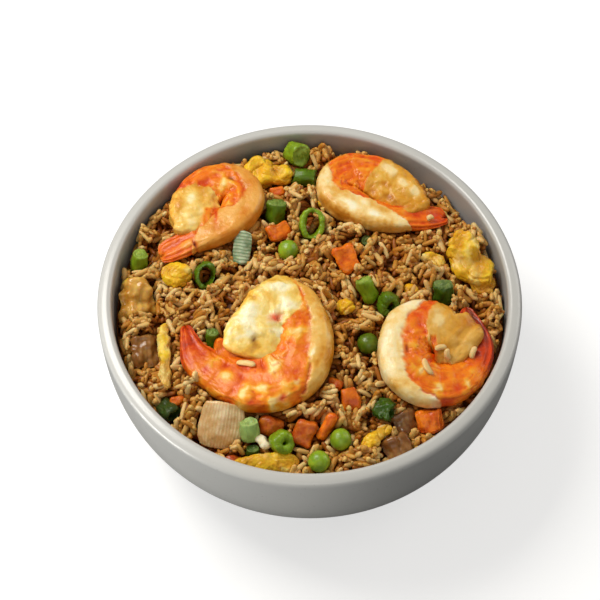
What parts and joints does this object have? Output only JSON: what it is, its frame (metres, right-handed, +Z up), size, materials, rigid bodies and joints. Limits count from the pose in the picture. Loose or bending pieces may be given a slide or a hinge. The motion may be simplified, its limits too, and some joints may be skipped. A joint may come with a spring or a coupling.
{
  "type": "fried rice",
  "caption": "Fried rice with curled prawns, egg, peas, carrot, onion and spring onion, heaped in a round stoneware bowl on a foot ring.",
  "frame": {"origin": "centre of the foot ring's underside, on the surface the bowl stands on", "axes": "+Z up along the bowl's axis, +X to the right and -Y towards the front of the bowl, as the dish is seen"},
  "size_m": [0.165, 0.165, 0.0726],
  "materials": {
    "stoneware": "light grey satin glaze with fine speckle",
    "rice": "long cooked grains, golden brown, lightly oiled",
    "prawn": "moist cooked flesh, cream with orange and red bands",
    "pea": "smooth bright green skin, moist",
    "spring_onion": "satin green leaf, darker inside",
    "carrot": "cut orange flesh, moist",
    "egg": "soft scrambled egg, pale and deep yellow",
    "onion": "softened onion with fine parallel fibres"
  },
  "bodies": {
    "root": {"bowl": "stoneware", "rice": "rice", "prawn_back_left": "prawn", "prawn_back_right": "prawn", "prawn_middle": "prawn", "prawn_right": "prawn", "pea_centre": "pea", "pea_front_right": "pea", "pea_front": "pea", "pea_back": "pea", "pea_sunk": "pea", "spring_onion_ring": "spring_onion", "spring_onion_back": "spring_onion", "spring_onion_behind": "spring_onion", "spring_onion_by_prawn": "spring_onion", "spring_onion_loop": "spring_onion", "spring_onion_curl": "spring_onion", "spring_onion_light": "spring_onion", "spring_onion_dark": "spring_onion", "spring_onion_upright": "spring_onion", "spring_onion_small": "spring_onion", "spring_onion_crumpled": "spring_onion", "spring_onion_frosty": "spring_onion", "spring_onion_shaded": "spring_onion", "spring_onion_bright": "spring_onion", "spring_onion_left": "spring_onion", "spring_onion_edge": "spring_onion", "carrot_centre": "carrot", "carrot_back": "carrot", "carrot_far": "carrot", "carrot_curl": "carrot", "carrot_front_left": "carrot", "carrot_front": "carrot", "carrot_slice": "carrot", "carrot_middle": "carrot", "carrot_ribbed": "carrot", "carrot_edge": "carrot", "egg_back": "egg", "egg_right": "egg", "egg_left": "egg", "egg_strip_left": "egg", "egg_strip_front": "egg", "egg_sliver": "egg", "egg_small": "egg", "egg_tan": "egg", "egg_crumb": "egg", "onion_petal": "onion", "onion_golden": "onion", "onion_brown": "onion", "onion_sunk": "onion", "onion_front": "onion", "onion_ribbed": "onion"}
  },
  "joints": []
}
